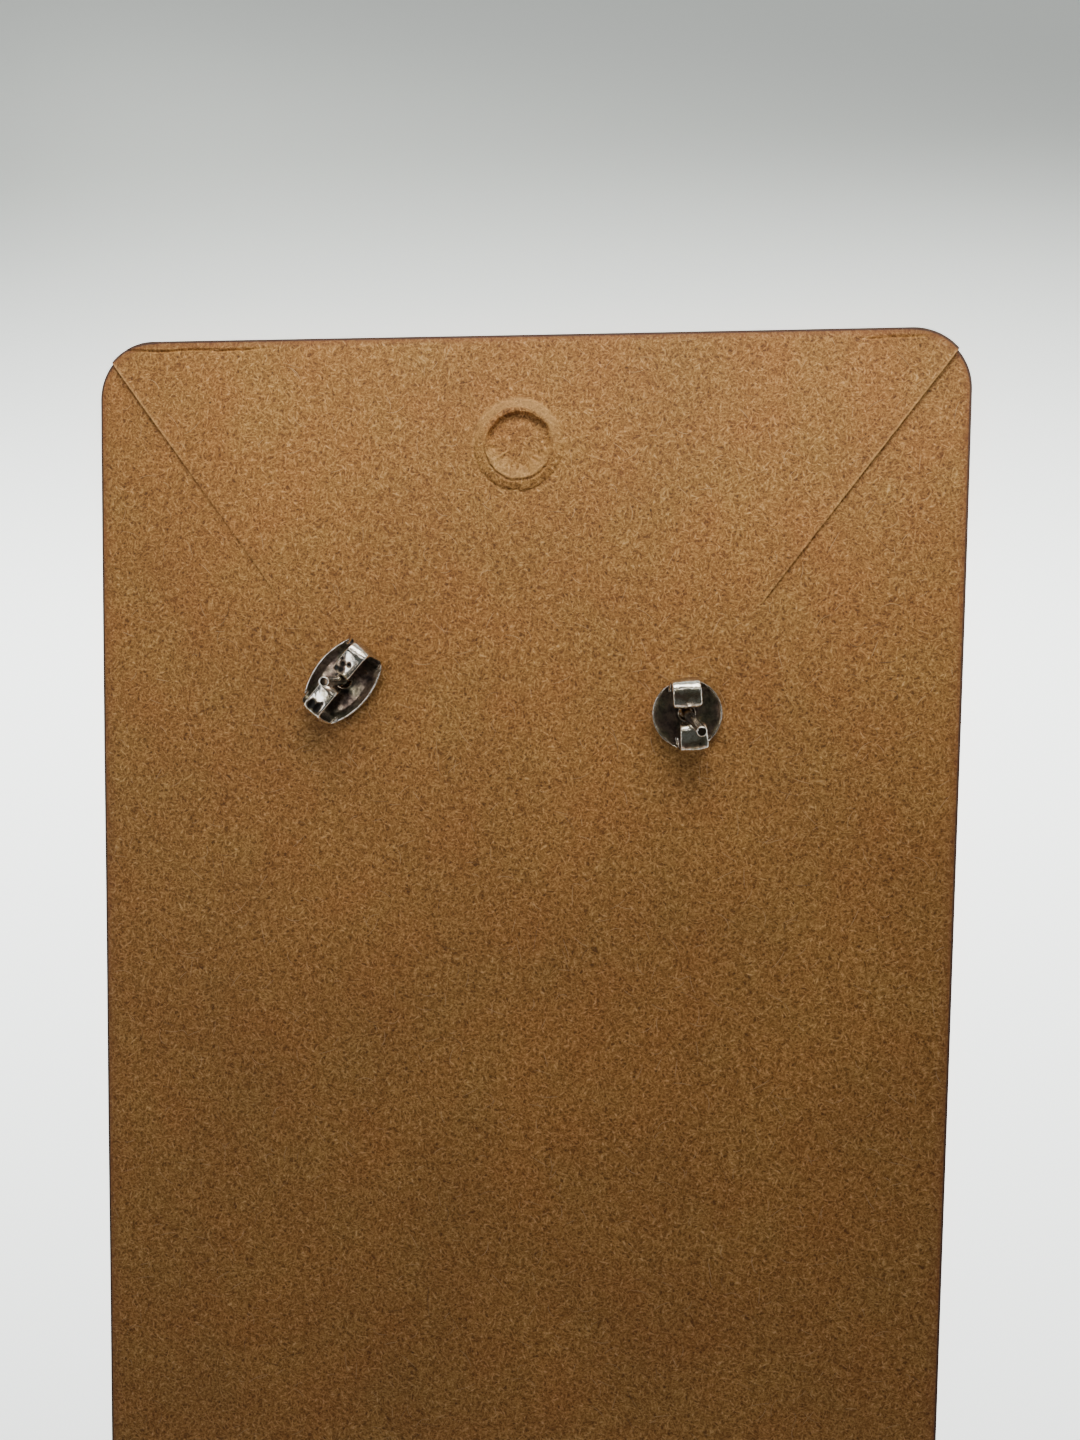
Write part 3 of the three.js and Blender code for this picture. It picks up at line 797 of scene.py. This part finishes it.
def add_floor(skin, spec, x, off):
    """The pan's floor between the two ears, with the post's hole as a patch of rings in it."""
    y = lines_between(off - spec["notch"], off + spec["notch"], LINES)
    xs = np.broadcast_to(x, y.shape)
    floor = np.stack([xs, y, pan_height(spec, xs, y)], -1)
    closed = np.zeros(len(x))
    keep = np.ones((len(y) - 1, len(x) - 1), bool)
    j0, j1 = around(x, 0, PAN_HOLE + 0.3)
    i0, i1 = around(y[:, len(x) // 2], 0, PAN_HOLE + 0.3)
    keep[i0:i1, j0:j1] = False
    add_sheet(skin, floor, np.broadcast_to(UP, floor.shape), fullness(closed, closed, LINES),
              pan_inside(spec, xs, y, 0.55), 0.45, keep=keep)
    hole = rings(border_of(floor[..., :2], (i0, i1), (j0, j1)), np.zeros(2),
                 PAN_HOLE + EDGE_IN[::-1], 3)
    hole_full = np.concatenate([np.ones(3), EDGE_FULL[::-1]])[:, None] * np.ones(hole.shape[:2])
    hole = np.concatenate([hole, pan_height(spec, hole[..., 0], hole[..., 1])[..., None]], -1)
    add_sheet(skin, hole, np.broadcast_to(UP, hole.shape), hole_full, 0.8, 0.45)


def add_wing(skin, spec, x, off, starts, way):
    """One side of the pan, past the notches that the ears were bent up out of. way is 1 or -1."""
    pan, notch, ears = spec["pan"], spec["notch"], spec["ears"]
    ends = [pan["length"](abs(-ear["side"] * way + notch) + 0.1) for ear in ears]
    past = [start + (end - start) * np.sin(WING_TURN) for start, end in zip(starts, ends)]
    wing_x = np.concatenate([-past[1][::-1], x, past[0]])
    inner_edge = np.interp(wing_x, x, off) + way * notch
    outline = way * np.maximum(pan["width"](wing_x), np.abs(inner_edge))
    past_free = np.ones(len(WING_TURN))
    free = np.concatenate([past_free, np.zeros(len(x)), past_free])
    always = np.ones(len(wing_x))
    if way > 0:
        wing_y = lines_between(inner_edge, outline, WING_LINES)
        full = fullness(free, always, WING_LINES)
    else:
        wing_y = lines_between(outline, inner_edge, WING_LINES)
        full = fullness(always, free, WING_LINES)
    xs = np.broadcast_to(wing_x, wing_y.shape)
    wing = np.stack([xs, wing_y, pan_height(spec, xs, wing_y)], -1)
    # beside each ear's first bend the wing follows it a little, less the further off it is
    bend = 0
    for radius, past_end in ((lower_turn(ears[1]), -wing_x - starts[1]),
                             (lower_turn(ears[0]), wing_x - starts[0])):
        into = np.minimum(np.maximum(past_end, 0), 0.97 * radius)
        bend = bend + (radius - np.sqrt(radius ** 2 - into ** 2))
    wing[..., 2] += bend * np.exp(-((wing_y - inner_edge) / 0.55) ** 2)
    add_sheet(skin, wing, np.broadcast_to(UP, wing.shape), full,
              pan_inside(spec, xs, wing_y, 0.58), 0.4)


def add_ear(skin, side, which):
    """One ear, from the pan's floor to its tucked tip. The first goes along the strip, the
    second against it."""
    spec = CLUTCHES[side]
    ear, notch, way = spec["ears"][which], spec["notch"], 1 - 2 * which
    line, run = ear_line(ear)
    tangent = np.gradient(line, run, axis=0)
    tangent /= np.linalg.norm(tangent, axis=1, keepdims=True)
    tangent[0] = (1, 0)
    narrowing = smoothstep((run - 0.7) / (ear["taper"] - 0.5))
    width = ear["root"] + (ear["tip"] - ear["root"]) * narrowing
    width = width + (notch - width) * (1 - smoothstep(run / 0.15))
    corner = np.clip((run - (run[-1] - 0.15)) / 0.15, 0, 1)
    width = width - 0.15 * (1 - np.sqrt(1 - corner ** 2))
    centre = -ear["side"]
    y = lines_between(centre - width, centre + width, LINES)
    free = (run > 1e-6).astype(float)
    closing = np.ones(len(run))
    closing[-len(EDGE_IN):] = EDGE_FULL[::-1]
    full = fullness(free, free, LINES) * closing
    start_rise = pan_height(spec, way * line[0, 0], y[:, :1]) - SHEET / 2
    nx, nz = -tangent[:, 1], tangent[:, 0]
    press = dented(side, which, run[None], y - centre)
    crown = 0.05 * (1 - ((y - centre) / width) ** 2) * smoothstep(run / 1.0)
    shift = start_rise * (1 - smoothstep(run / 0.4)) + press - crown
    middle = np.stack([way * (line[:, 0] + nx * shift), y, line[:, 1] + nz * shift], -1)
    normal = np.broadcast_to(np.stack([way * nx, 0 * nx, nz], -1), middle.shape)
    steep = smoothstep((run - 3.1) / 1.6)
    outside = 0.1 + 0.3 * steep + 1.1 * np.clip(press / 0.07, 0, 1)
    if way < 0:
        middle, normal, full, outside = (grid[:, ::-1] for grid in (middle, normal, full, outside))
    add_sheet(skin, middle, normal, full, 0.75, outside)


def clutch_skin(side):
    """The floor, the wings and the ears of one clutch, which weld into one skin."""
    spec = CLUTCHES[side]
    starts = [ear["reach"] - lower_turn(ear) for ear in spec["ears"]]
    x = np.linspace(-starts[1], starts[0], 81)
    share = (x + starts[1]) / (starts[0] + starts[1])
    off = -(spec["ears"][1]["side"] * (1 - share) + spec["ears"][0]["side"] * share)
    skin = Skin()
    add_floor(skin, spec, x, off)
    for way in (1, -1):
        add_wing(skin, spec, x, off, starts, way)
    for which in (0, 1):
        add_ear(skin, side, which)
    return skin


# %% [markdown]
# Each clutch is then put on its post: turned so that its own axes lie along the strip,
# across it and up its axis, and lifted a little off the card. The posts lean, so one ear of
# each clutch cuts a little into its post.

# %% Both clutches in place
def clutch(side):
    """One clutch on its post, in place of the CAD model's."""
    spec = CLUTCHES[side]
    up = leaning(*spec["lean"])
    strip = math.radians(spec["strip"])
    along = np.array([math.cos(strip), math.sin(strip), 0.0])
    along -= up * (along @ up)
    along /= np.linalg.norm(along)
    axes = np.stack([along, np.cross(up, along), up])
    base = np.array([*stud_place(side), spec["lift"]])
    made = clutch_skin(side).mesh(f"{side}_butterfly_clutch",
                                  lambda points: from_card(base + points @ axes))
    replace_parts(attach(made, f"{side}_clutch"), f"{side}_clutch")
    return made


clutches = [clutch("left"), clutch("right")]

# %% [markdown]
# ## Materials
#
# Each material is a small graph of shader nodes. A few helpers keep the graphs readable: one
# turns the hex colour that a designer would quote into the linear numbers that the renderer
# works in, one adds a node with its settings and links, and the others use it for the nodes
# that come up again and again. A pattern's scale is one over its size in millimetres, because
# the coordinates are turned into millimetres first.

# %% Colour and node helpers
def srgb(code):
    """A colour such as "#C8A878" as linear red, green, blue and alpha."""
    value = np.array([int(code[i:i + 2], 16) for i in (1, 3, 5)]) / 255
    linear = np.where(value <= 0.04045, value / 12.92, ((value + 0.055) / 1.055) ** 2.4)
    return (*linear.tolist(), 1.0)


def add(tree, kind, inputs=None, **settings):
    """Adds a shader node. inputs gives its sockets, by name or number, a value or a link."""
    made = tree.nodes.new("ShaderNode" + kind)
    for key, value in settings.items():
        setattr(made, key, value)
    for key, value in (inputs or {}).items():
        if isinstance(value, bpy.types.NodeSocket):
            tree.links.new(value, made.inputs[key])
        else:
            made.inputs[key].default_value = value
    return made


def new_material(name):
    """An empty material and its tree."""
    made = bpy.data.materials.new(name)
    made.use_nodes = True
    made.node_tree.nodes.clear()
    return made, made.node_tree


def millimetres(tree):
    """The place on the object, in millimetres."""
    place = add(tree, "TexCoord").outputs["Object"]
    return add(tree, "VectorMath", {0: place, "Scale": 1 / MM}, operation="SCALE").outputs["Vector"]


def output(tree, shader):
    """Ends the graph with its last shader."""
    add(tree, "OutputMaterial", {"Surface": shader.outputs[0]})


def noise(tree, place, size, detail, roughness=0.5, socket="Fac"):
    """A noise with lumps of about a size in millimetres, as a number or, from Color, a vector."""
    made = add(tree, "TexNoise", {"Vector": place, "Scale": 1 / size, "Detail": detail,
                                  "Roughness": roughness})
    return made.outputs[socket]


def remap(tree, value, start=0.0, stop=1.0, low=0.0, high=1.0, shape="LINEAR"):
    """Start to stop becomes low to high, and beyond either end it stays at that end."""
    return add(tree, "MapRange", {0: value, 1: start, 2: stop, 3: low, 4: high},
               interpolation_type=shape).outputs[0]


def combine(tree, operation, first, second=0.0, **settings):
    """One step of arithmetic."""
    return add(tree, "Math", {0: first, 1: second}, operation=operation, **settings).outputs[0]


def painted(tree, name):
    """A number that was given to the mesh's points."""
    return add(tree, "Attribute", attribute_name=name).outputs["Fac"]


A, B, RESULT = 6, 7, 2   # a Mix node's two colours, and the colour that it gives out


def tint(tree, share, first, second, kind="MIX"):
    """One colour with a share of another over it. Each is a link or a hex code."""
    first, second = (srgb(each) if isinstance(each, str) else each for each in (first, second))
    return add(tree, "Mix", {0: share, A: first, B: second}, data_type="RGBA",
               blend_type=kind).outputs[RESULT]


def ramp_of(tree, fac, stops):
    """A colour ramp from pairs of a position and a hex colour."""
    made = add(tree, "ValToRGB", {0: fac})
    for _ in stops[2:]:
        made.color_ramp.elements.new(0.5)
    for element, (position, code) in zip(made.color_ramp.elements, stops):
        element.position, element.color = position, srgb(code)
    return made.outputs[0]


# %% [markdown]
# Unbleached kraft board is matt, and its colour is nothing but fibres: tan on the whole, with
# short straw and umber strokes that cross at all angles, as the pulp settled. Four noises,
# drawn out into strokes at four angles, give the fibres, and at each place the topmost one
# shows: that is the largest of the four numbers. A slow noise bends their coordinates, so
# that no stroke is straight. The same numbers raise the surface by up to 0.085 mm, several
# times more than real fibres do, so that it catches the light that falls along the board.

# %% Kraft board
STROKE_LENGTH, STROKE_WIDTH = 0.62, 0.17     # mm; about 5 times real fibres, which wouldn't show
STROKE_TURNS = (12, 57, 102, 147)            # degrees
STROKE_HEIGHT = 0.085                        # mm


def kraft_board():
    """Matt board: crossed fibres, clouds, specks of bark, pale torn pulp that is also a painted
    highlight on the sides facing the key light, and a dark cut edge that is also painted shade inside
    the cuts.
    """
    made, tree = new_material("kraft_board_uncoated")
    mm = millimetres(tree)
    centred = add(tree, "VectorMath", {0: noise(tree, mm, 1.6, 2.0, socket="Color"),
                                       1: (0.5, 0.5, 0.5)}, operation="SUBTRACT").outputs["Vector"]
    push = add(tree, "VectorMath", {0: centred, "Scale": 1.1}, operation="SCALE").outputs["Vector"]
    swirled = add(tree, "VectorMath", {0: mm, 1: push}, operation="ADD").outputs["Vector"]
    top = None
    for turn in STROKE_TURNS:
        turned = add(tree, "Mapping", {"Vector": swirled, "Rotation": (0, 0, math.radians(turn))})
        drawn = add(tree, "Mapping", {"Vector": turned.outputs[0], "Location": (turn, 0, 0),
                                      "Scale": (1 / STROKE_LENGTH, 1 / STROKE_WIDTH, 0)})
        stroke = noise(tree, drawn.outputs[0], 1.0, 1.5, 0.6)
        top = combine(tree, "MAXIMUM", top, stroke) if top else stroke
    grain = noise(tree, mm, 0.16, 2.0, 0.7)
    fibre = add(tree, "Mix", {0: 0.35, 2: top, 3: grain}, data_type="FLOAT").outputs[0]
    colour = ramp_of(tree, fibre, ((0.44, "#66401A"), (0.5, "#8C5D2B"), (0.56, "#AA783D"),
                                   (0.62, "#C49050"), (0.7, "#DEB278")))

    # clouds 14 mm wide make it lighter and darker, patches of 4 mm redder and greener
    cloudy = remap(tree, noise(tree, mm, 14, 3.0), 0.3, 0.7, 0.9, 1.08)
    redder = remap(tree, noise(tree, mm, 4, 2.0), 0.3, 0.7, 1.07, 0.95)
    greener = combine(tree, "MULTIPLY", cloudy, redder)
    grey = add(tree, "CombineColor", {0: cloudy, 1: greener, 2: greener}).outputs[0]
    board = tint(tree, 1.0, colour, grey, "MULTIPLY")

    # dark specks of bark, a third of a millimetre across and several millimetres apart
    speck = remap(tree, noise(tree, swirled, 0.4, 1.0), 0.76, 0.84)
    board = tint(tree, speck, board, "#55351A")
    # pale pulp on the lips of the cuts and on the hang hole, only on the sides that face the key
    # light: torn pulp and a painted highlight
    pulp_and_highlight_share = combine(tree, "MULTIPLY", painted(tree, "torn"), 0.5)
    board = tint(tree, pulp_and_highlight_share, board, "#D6A866")

    # the cutting rule crushed the edge: a faint reddish band, and a dark line at the cut itself; the
    # walls of the two cuts take the same dark colour as painted shade inside the cuts
    worn = painted(tree, "worn")
    board = tint(tree, remap(tree, worn, 0.15, 0.7, high=0.45), board, "#8E5330")
    board = tint(tree, remap(tree, worn, 0.8, 0.92), board, "#543A30")

    height = add(tree, "Bump", {"Strength": 1.0, "Distance": STROKE_HEIGHT * MM, "Height": fibre})
    output(tree, add(tree, "BsdfPrincipled", {"Base Color": board, "Roughness": 0.68, "IOR": 1.47,
                                              "Normal": height.outputs[0]}))
    return made


# %% [markdown]
# The loose fibres are the same pulp: the `shade` attribute runs from bark to clean straw.

# %% Loose kraft fibre
def loose_fibre():
    """Matt threads between bark brown and straw."""
    made, tree = new_material("kraft_fibre_strands")
    colour = tint(tree, painted(tree, "shade"), "#5E3C1C", "#CDA672")
    output(tree, add(tree, "BsdfPrincipled", {"Base Color": colour, "Roughness": 0.6, "IOR": 1.5}))
    return made


# %% [markdown]
# Polished sterling silver is a warm near-white mirror. Fine wiping scratches spread its
# highlights along the post: a noise drawn out to thin lines moves the roughness a little. The
# cut end of the post is never wiped, so a brown film stays on it, inside a bright rounded edge.

# %% Polished silver
def polished_silver():
    """A near-white mirror with fine lengthwise scratches, a thin film and a brown cut end."""
    made, tree = new_material("silver_polished")
    mm = millimetres(tree)
    lines = add(tree, "Mapping", {"Vector": mm, "Scale": (1 / 0.03, 1 / 0.03, 1 / 1.5)})
    rough = remap(tree, noise(tree, lines.outputs[0], 1.0, 2.0), 0.3, 0.7, 0.1, 0.24)
    amount = remap(tree, noise(tree, mm, 1.1, 3.0), 0.45, 0.7, high=0.5)
    colour = tint(tree, amount, "#EDEAE4", "#B9AB97")
    colour = tint(tree, painted(tree, "dull"), colour, "#6A5A4A")
    output(tree, add(tree, "BsdfPrincipled", {"Base Color": colour, "Metallic": 1.0,
                                              "Roughness": rough}))
    return made


# %% [markdown]
# Old silver clutches carry a film of sulphide. It is thin and straw coloured at first, then
# brown with a cast of violet or green, then nearly black, and it dulls the polish. Here the
# `tarnish` attribute says where it may be and a noise breaks it into patches, about half a
# millimetre across. The sheet was rolled and stamped, so a faint ripple stays in it, which
# makes its reflections wander.

# %% Tarnished silver
RIPPLE_HEIGHT = 0.07     # mm, more than in real sheet, so that it shows


def tarnished_silver():
    """Bright metal where it is worn, through straw and brown to nearly black in the hollows."""
    made, tree = new_material("silver_sheet_tarnished")
    mm = millimetres(tree)
    spread = remap(tree, noise(tree, mm, 0.55, 4.0, 0.65), 0.3, 0.7, -0.3, 0.3)
    amount = combine(tree, "ADD", painted(tree, "tarnish"), spread, use_clamp=True)
    film = ramp_of(tree, amount, ((0.0, "#EFEBE3"), (0.25, "#D2C9B9"), (0.45, "#9C8D7A"),
                                  (0.62, "#82776A"), (0.78, "#5E564D"), (1.0, "#1C1816")))
    green = remap(tree, noise(tree, mm, 1.3, 2.0), 0.42, 0.62)
    cast = tint(tree, green, "#EBD2D4", "#D0DCC0")
    colour = tint(tree, amount, film, cast, "MULTIPLY")
    rough = remap(tree, amount, low=0.14, high=0.42)
    metal = remap(tree, amount, 0.5, 1.0, 1.0, 0.55)
    ripple = noise(tree, mm, 0.7, 2.0, 0.4)
    height = add(tree, "Bump", {"Strength": 1.0, "Distance": RIPPLE_HEIGHT * MM, "Height": ripple})
    output(tree, add(tree, "BsdfPrincipled", {"Base Color": colour, "Metallic": metal,
                                              "Roughness": rough, "Normal": height.outputs[0]}))
    return made


finishes = [((kraft_card,), kraft_board()), ((loose_fibres,), loose_fibre()),
            (studs, polished_silver()), (clutches, tarnished_silver())]
for its_pieces, finish in finishes:
    for piece in its_pieces:
        piece.data.materials.append(finish)
print("materials:", [m.name for m in bpy.data.materials])

# %% [markdown]
# ## Floor, light and camera
#
# The floor is plain and pale, and glows: a painted glow, brighter towards the card's top edge, and a
# painted shadow that dims a patch beyond that edge. The main light is a wide soft panel beyond the
# same edge.
# It lights the board along its surface, strongest near that edge, which shows up the fibres
# and the cuts. Silver shows what is around it, so there are a few more lights and two panels
# above: a bright one where a streak is wanted, and a dark one that keeps flat metal dark. The
# camera doesn't see those. It does see four pale screens, far away, but only in low views.

# %% Floor
def rectangle(name, corners, finish, visible=True):
    """A single face with its corners in the frame's metres, anticlockwise from its front."""
    mesh = bpy.data.meshes.new(name)
    mesh.from_pydata(corners, [], [(0, 1, 2, 3)])
    made = link(name, mesh)
    made.data.materials.append(finish)
    made.visible_camera = visible
    return made


def floor_finish():
    """Matt and pale, with a painted glow: brightest beside the card, and dimmed beyond its top by a
    painted shadow.
    """
    made, tree = new_material("floor_with_painted_glow_and_shadow")
    across, along = add(tree, "SeparateXYZ", {0: millimetres(tree)}).outputs[:2]
    # painted glow, stronger towards the card like a pool of light
    near = remap(tree, along, -45.0, 15.0, 2.4, 3.9)
    wide = combine(tree, "ABSOLUTE", across)
    # painted shadow: a soft dim band beyond the card's top, bright again far off along y and x
    painted_shadow_band = remap(tree, along, 20.0, 60.0, 1.0, 0.085, shape="SMOOTHSTEP")
    past_y = remap(tree, along, 90.0, 200.0, shape="SMOOTHSTEP")
    past_x = remap(tree, wide, 60.0, 170.0, shape="SMOOTHSTEP")
    outside_painted_shadow = combine(tree, "MAXIMUM", combine(tree, "MAXIMUM", past_y, past_x), painted_shadow_band)
    painted_glow = combine(tree, "MULTIPLY", near, outside_painted_shadow)
    output(tree, add(tree, "BsdfPrincipled", {
        "Base Color": srgb("#DCE5E1"), "Roughness": 0.9, "Emission Color": srgb("#F1F5F3"),
        "Emission Strength": painted_glow}))
    return made


FLOOR_REACH = 2.0        # metres from the middle to each side
floor_corners = [(x * FLOOR_REACH, y * FLOOR_REACH, 0)
                 for x, y in ((-1, -1), (1, -1), (1, 1), (-1, 1))]
rectangle("floor", floor_corners, floor_finish())

# %% Lights
def soft_light(name, place, target, size, power, colour, spread=180):
    """A rectangular area light at a place, facing a target, both in card millimetres. size is in
    millimetres, power in watts, and spread the full angle of its beam in degrees."""
    data = bpy.data.lights.new(name, "AREA")
    data.spread = math.radians(spread)
    data.shape = "RECTANGLE"
    data.size, data.size_y = size[0] * MM, size[1] * MM
    data.energy = power
    data.color = srgb(colour)[:3]
    made = link(name, data)
    back = from_card(place) - from_card(target)
    back /= np.linalg.norm(back)
    right = np.cross([0, 0, 1], back)
    right /= np.linalg.norm(right)
    turn = np.stack([right, np.cross(back, right), back], 1)
    made.matrix_world = Matrix([[*row, at] for row, at in zip(turn.tolist(), from_card(place))]
                               + [[0, 0, 0, 1]])
    made.visible_camera = False
    return made


LIGHTS = [               # name, place, target, size, power, colour, spread
    ("key_low", (6, 70, 30), (0, 34, 0), (90, 15), 0.0108, "#FFFBF4", 84),
    ("key_high", (6, 62, 66), (0, 30, 0), (80, 9), 0.0055, "#FFFBF4", 180),
    ("fill_left", (-110, 10, 70), (0, 0, 0), (30, 30), 0.007, "#FFFFFF", 180),
    ("fill_right", (110, 0, 70), (0, 0, 0), (30, 30), 0.006, "#FFFFFF", 180),
    ("low_front", (10, -90, 40), (0, 10, 0), (60, 8), 0.0028, "#FFC9A4", 180)]
for light in LIGHTS:
    soft_light(*light)

# %% Panels and screens
SCREEN_REACH, SCREEN_LOW, SCREEN_HIGH = 700, -40, 560    # mm from the card, and heights


def glowing(name, colour, strength):
    """A plain surface that gives off light."""
    made, tree = new_material(name)
    output(tree, add(tree, "Emission", {"Color": srgb(colour), "Strength": strength}))
    return made


def pale_screen():
    """A glow that fades as it goes up, from 120 mm above the floor to 520 mm."""
    made, tree = new_material("pale_screen")
    height = add(tree, "SeparateXYZ", {0: millimetres(tree)}).outputs[2]
    fade = remap(tree, height, 120.0, 520.0, 0.62, 0.08, shape="SMOOTHSTEP")
    output(tree, add(tree, "Emission", {"Color": srgb("#F6F6F2"), "Strength": fade}))
    return made


def panel_above(name, x, y, z, finish):
    """A level panel that faces down and isn't seen by the camera. x and y are pairs, in mm."""
    corners = [(x[0], y[0], z), (x[0], y[1], z), (x[1], y[1], z), (x[1], y[0], z)]
    rectangle(name, from_card(corners).tolist(), finish, visible=False)


panel_above("bright_above", (-57, -33), (2, 37), 84, glowing("bright_panel", "#FFFFFF", 3.8))
panel_above("dark_above", (-24, 75), (-90, 55), 82, glowing("dark_panel", "#E8EDE4", 0.1))
around_card = [(x * SCREEN_REACH, y * SCREEN_REACH)
               for x, y in ((-1, -1), (1, -1), (1, 1), (-1, 1))]
screen = pale_screen()
for side, start, end in zip(("near", "right", "far", "left"), around_card,
                            around_card[1:] + around_card[:1]):
    corners = [(*end, SCREEN_LOW), (*start, SCREEN_LOW), (*start, SCREEN_HIGH), (*end, SCREEN_HIGH)]
    rectangle(f"screen_{side}", from_card(corners).tolist(), screen)

world = bpy.data.worlds.new("soft_room")
world.use_nodes = True
background = world.node_tree.nodes["Background"].inputs
background["Color"].default_value = srgb("#F0EEE8")
background["Strength"].default_value = 0.07
bpy.context.scene.world = world

# %% Camera
CAMERA_PLACE = (9.8, 23.2, 74.2)                        # card millimetres
CAMERA_TURN = {"Z": -0.72, "X": 3.40, "Y": -6.14}       # degrees, in the order they multiply
LENS, SENSOR = 27.0, 36.0                               # mm

camera_data = bpy.data.cameras.new("camera")
camera_data.lens, camera_data.sensor_width = LENS, SENSOR
camera_data.clip_start, camera_data.clip_end = 0.005, 5.0    # metres
camera = link("camera", camera_data)
turns = [Matrix.Rotation(math.radians(angle), 3, axis) for axis, angle in CAMERA_TURN.items()]
axes = CARD_AXES.T @ np.array((turns[0] @ turns[1] @ turns[2]).transposed())
camera.matrix_world = Matrix([[*row, at] for row, at in zip(axes.tolist(), from_card(CAMERA_PLACE))]
                             + [[0, 0, 0, 1]])
bpy.context.scene.camera = camera
